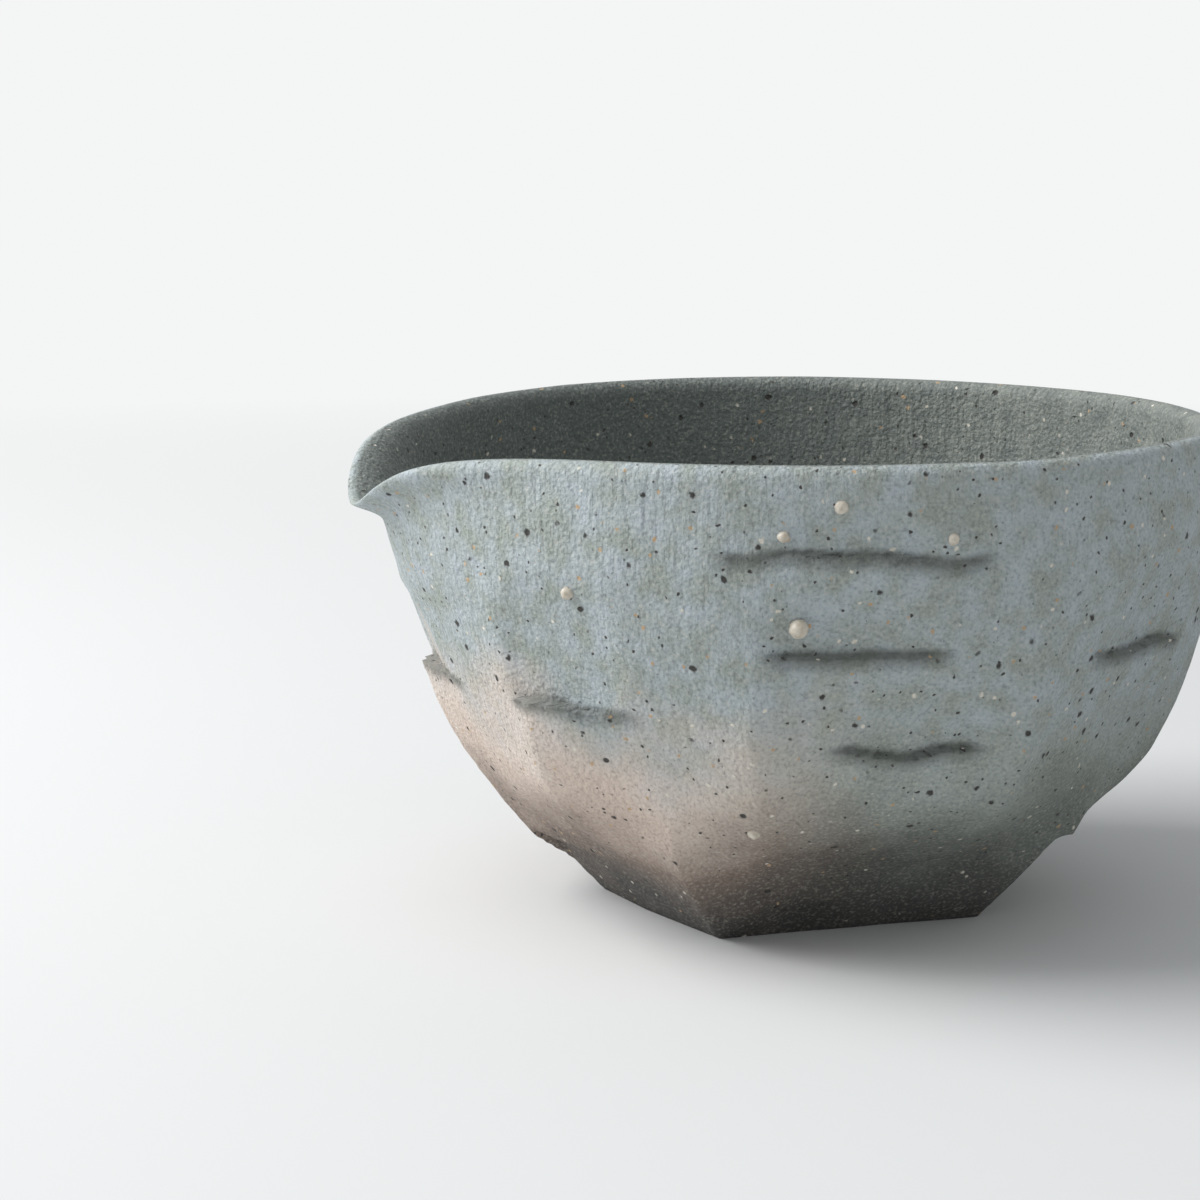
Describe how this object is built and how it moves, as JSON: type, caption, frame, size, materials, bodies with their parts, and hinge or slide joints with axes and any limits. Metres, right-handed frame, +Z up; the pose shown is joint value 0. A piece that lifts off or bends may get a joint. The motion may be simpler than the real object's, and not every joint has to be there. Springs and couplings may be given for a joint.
{
  "type": "sake pitcher",
  "caption": "Lipped stoneware sake bowl with a knife-carved outside, stepped ledges, a flat faceted base and one short pulled pouring spout.",
  "frame": {"origin": "centre of the flat base, on the bowl's axis", "axes": "+Z up through the bowl's mouth, spout towards -X, carved ledges seen in the picture towards -Y"},
  "size_m": [0.131, 0.1245, 0.074],
  "materials": {
    "clay": "unglazed wood-fired blue-grey stoneware, matt",
    "feldspar": "melted feldspar grain, satin"
  },
  "bodies": {
    "root": {"carved_clay_body": "clay", "feldspar_stone_1": "feldspar", "feldspar_stone_2": "feldspar", "feldspar_stone_3": "feldspar", "feldspar_stone_4": "feldspar", "feldspar_stone_5": "feldspar", "feldspar_stone_6": "feldspar", "feldspar_stone_7": "feldspar", "feldspar_stone_8": "feldspar", "feldspar_stone_9": "feldspar"}
  },
  "joints": []
}
